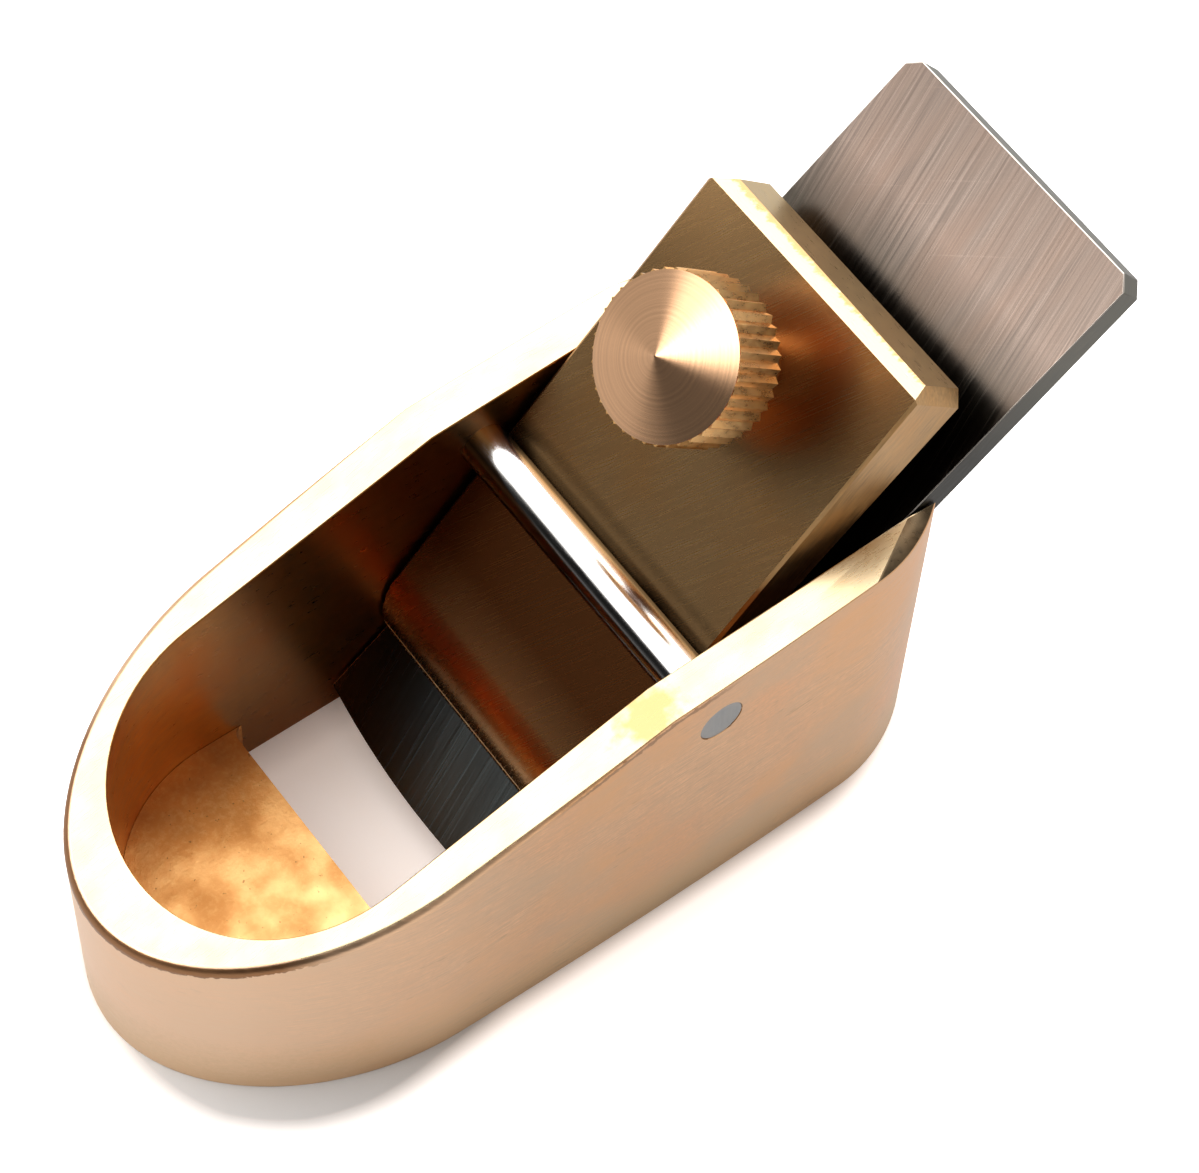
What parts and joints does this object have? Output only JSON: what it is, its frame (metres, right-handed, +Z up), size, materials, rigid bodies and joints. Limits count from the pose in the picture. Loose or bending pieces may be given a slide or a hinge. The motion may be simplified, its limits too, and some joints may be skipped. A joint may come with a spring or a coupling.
{
  "type": "thumb plane",
  "caption": "Small brass thumb plane with a round toe, a steel blade on a sloping bed and a lever cap clamped by a knurled thumbscrew.",
  "frame": {"origin": "centre of the flat sole, midway between the heel and the toe of the body", "axes": "+X along the sole to the rounded toe, +Y to the side, +Z up out of the throat"},
  "size_m": [0.0664, 0.026, 0.0395],
  "materials": {
    "body_brass": "brushed, warm tan, polished on the rim",
    "toe_brass": "mottled and lightly pitted",
    "bed_brass": "filed flat",
    "pin_steel": "drawn and polished",
    "blade_steel": "ground lengthwise, darker at the edge",
    "cap_brass": "brushed, olive brown",
    "stem_brass": "screw-cut",
    "knob_brass": "turned cone with fine rings, straight knurl"
  },
  "bodies": {
    "plane_body": {"body": "body_brass", "toe_plate": "toe_brass", "bed_block": "bed_brass", "cross_pin": "pin_steel"},
    "plane_blade": {"blade": "blade_steel"},
    "cap": {"lever_cap": "cap_brass"},
    "screw_shank": {"screw_stem": "stem_brass"},
    "screw_head": {"screw_knob": "knob_brass"}
  },
  "joints": [
    {"name": "blade_slide", "type": "slide", "parent": "plane_body", "child": "plane_blade", "axis": [-0.7814, 0.0172, 0.6238], "range_m": [-0.0032, 0.006]},
    {"name": "cap_rock", "type": "hinge", "parent": "plane_body", "child": "cap", "pos_m": [-0.0067, 0, 0.0195], "axis": [0, -1, 0], "range_deg": [0, 4.75]},
    {"name": "screw_travel", "type": "slide", "parent": "cap", "child": "screw_shank", "axis": [0.729, 0, 0.6845], "range_m": [0, 0.0014]},
    {"name": "screw_turn", "type": "hinge", "parent": "screw_shank", "child": "screw_head", "pos_m": [-0.01331, -0.00028, 0.03442], "axis": [0.729, 0, 0.6845], "range_deg": [0, 720]}
  ],
  "couplings": [
    {"joint": "screw_turn", "follows": "cap_rock", "ratio": 151.57},
    {"joint": "screw_travel", "follows": "cap_rock", "m_per_rad": 0.016886}
  ]
}
